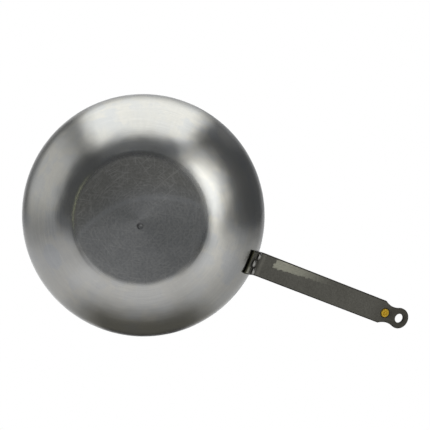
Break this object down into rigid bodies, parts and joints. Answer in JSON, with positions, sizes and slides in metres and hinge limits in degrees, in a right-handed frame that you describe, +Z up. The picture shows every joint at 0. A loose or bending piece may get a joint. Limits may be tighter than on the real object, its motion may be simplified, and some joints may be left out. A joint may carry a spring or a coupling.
{
  "type": "wok",
  "caption": "Flat-bottomed spun steel wok with a rising strip handle riveted to its wall, a hanging eye and a round soft plug near the handle's end.",
  "frame": {"origin": "middle of the flat base's underside, on the surface the wok stands on", "axes": "+Z up through the open top, +X from the bowl's axis out along the handle, +Y to the side"},
  "size_m": [0.4839, 0.28, 0.1789],
  "materials": {
    "spun_steel": "bare carbon steel, satin, brushed in circles",
    "dark_strip_steel": "dark grey mill-scaled strip, satin",
    "rivet_steel": "hammered steel, satin",
    "yellow_silicone": "matte golden yellow silicone"
  },
  "bodies": {
    "wok": {"bowl": "spun_steel", "handle": "dark_strip_steel", "rivet_lower": "rivet_steel", "rivet_upper_left": "rivet_steel", "rivet_upper_right": "rivet_steel"},
    "plug": {"handle_plug": "yellow_silicone"}
  },
  "joints": [
    {"name": "plug_lift", "type": "slide", "parent": "wok", "child": "plug", "axis": [-0.4019, 0, 0.9157], "range_m": [0, 0.015]}
  ]
}
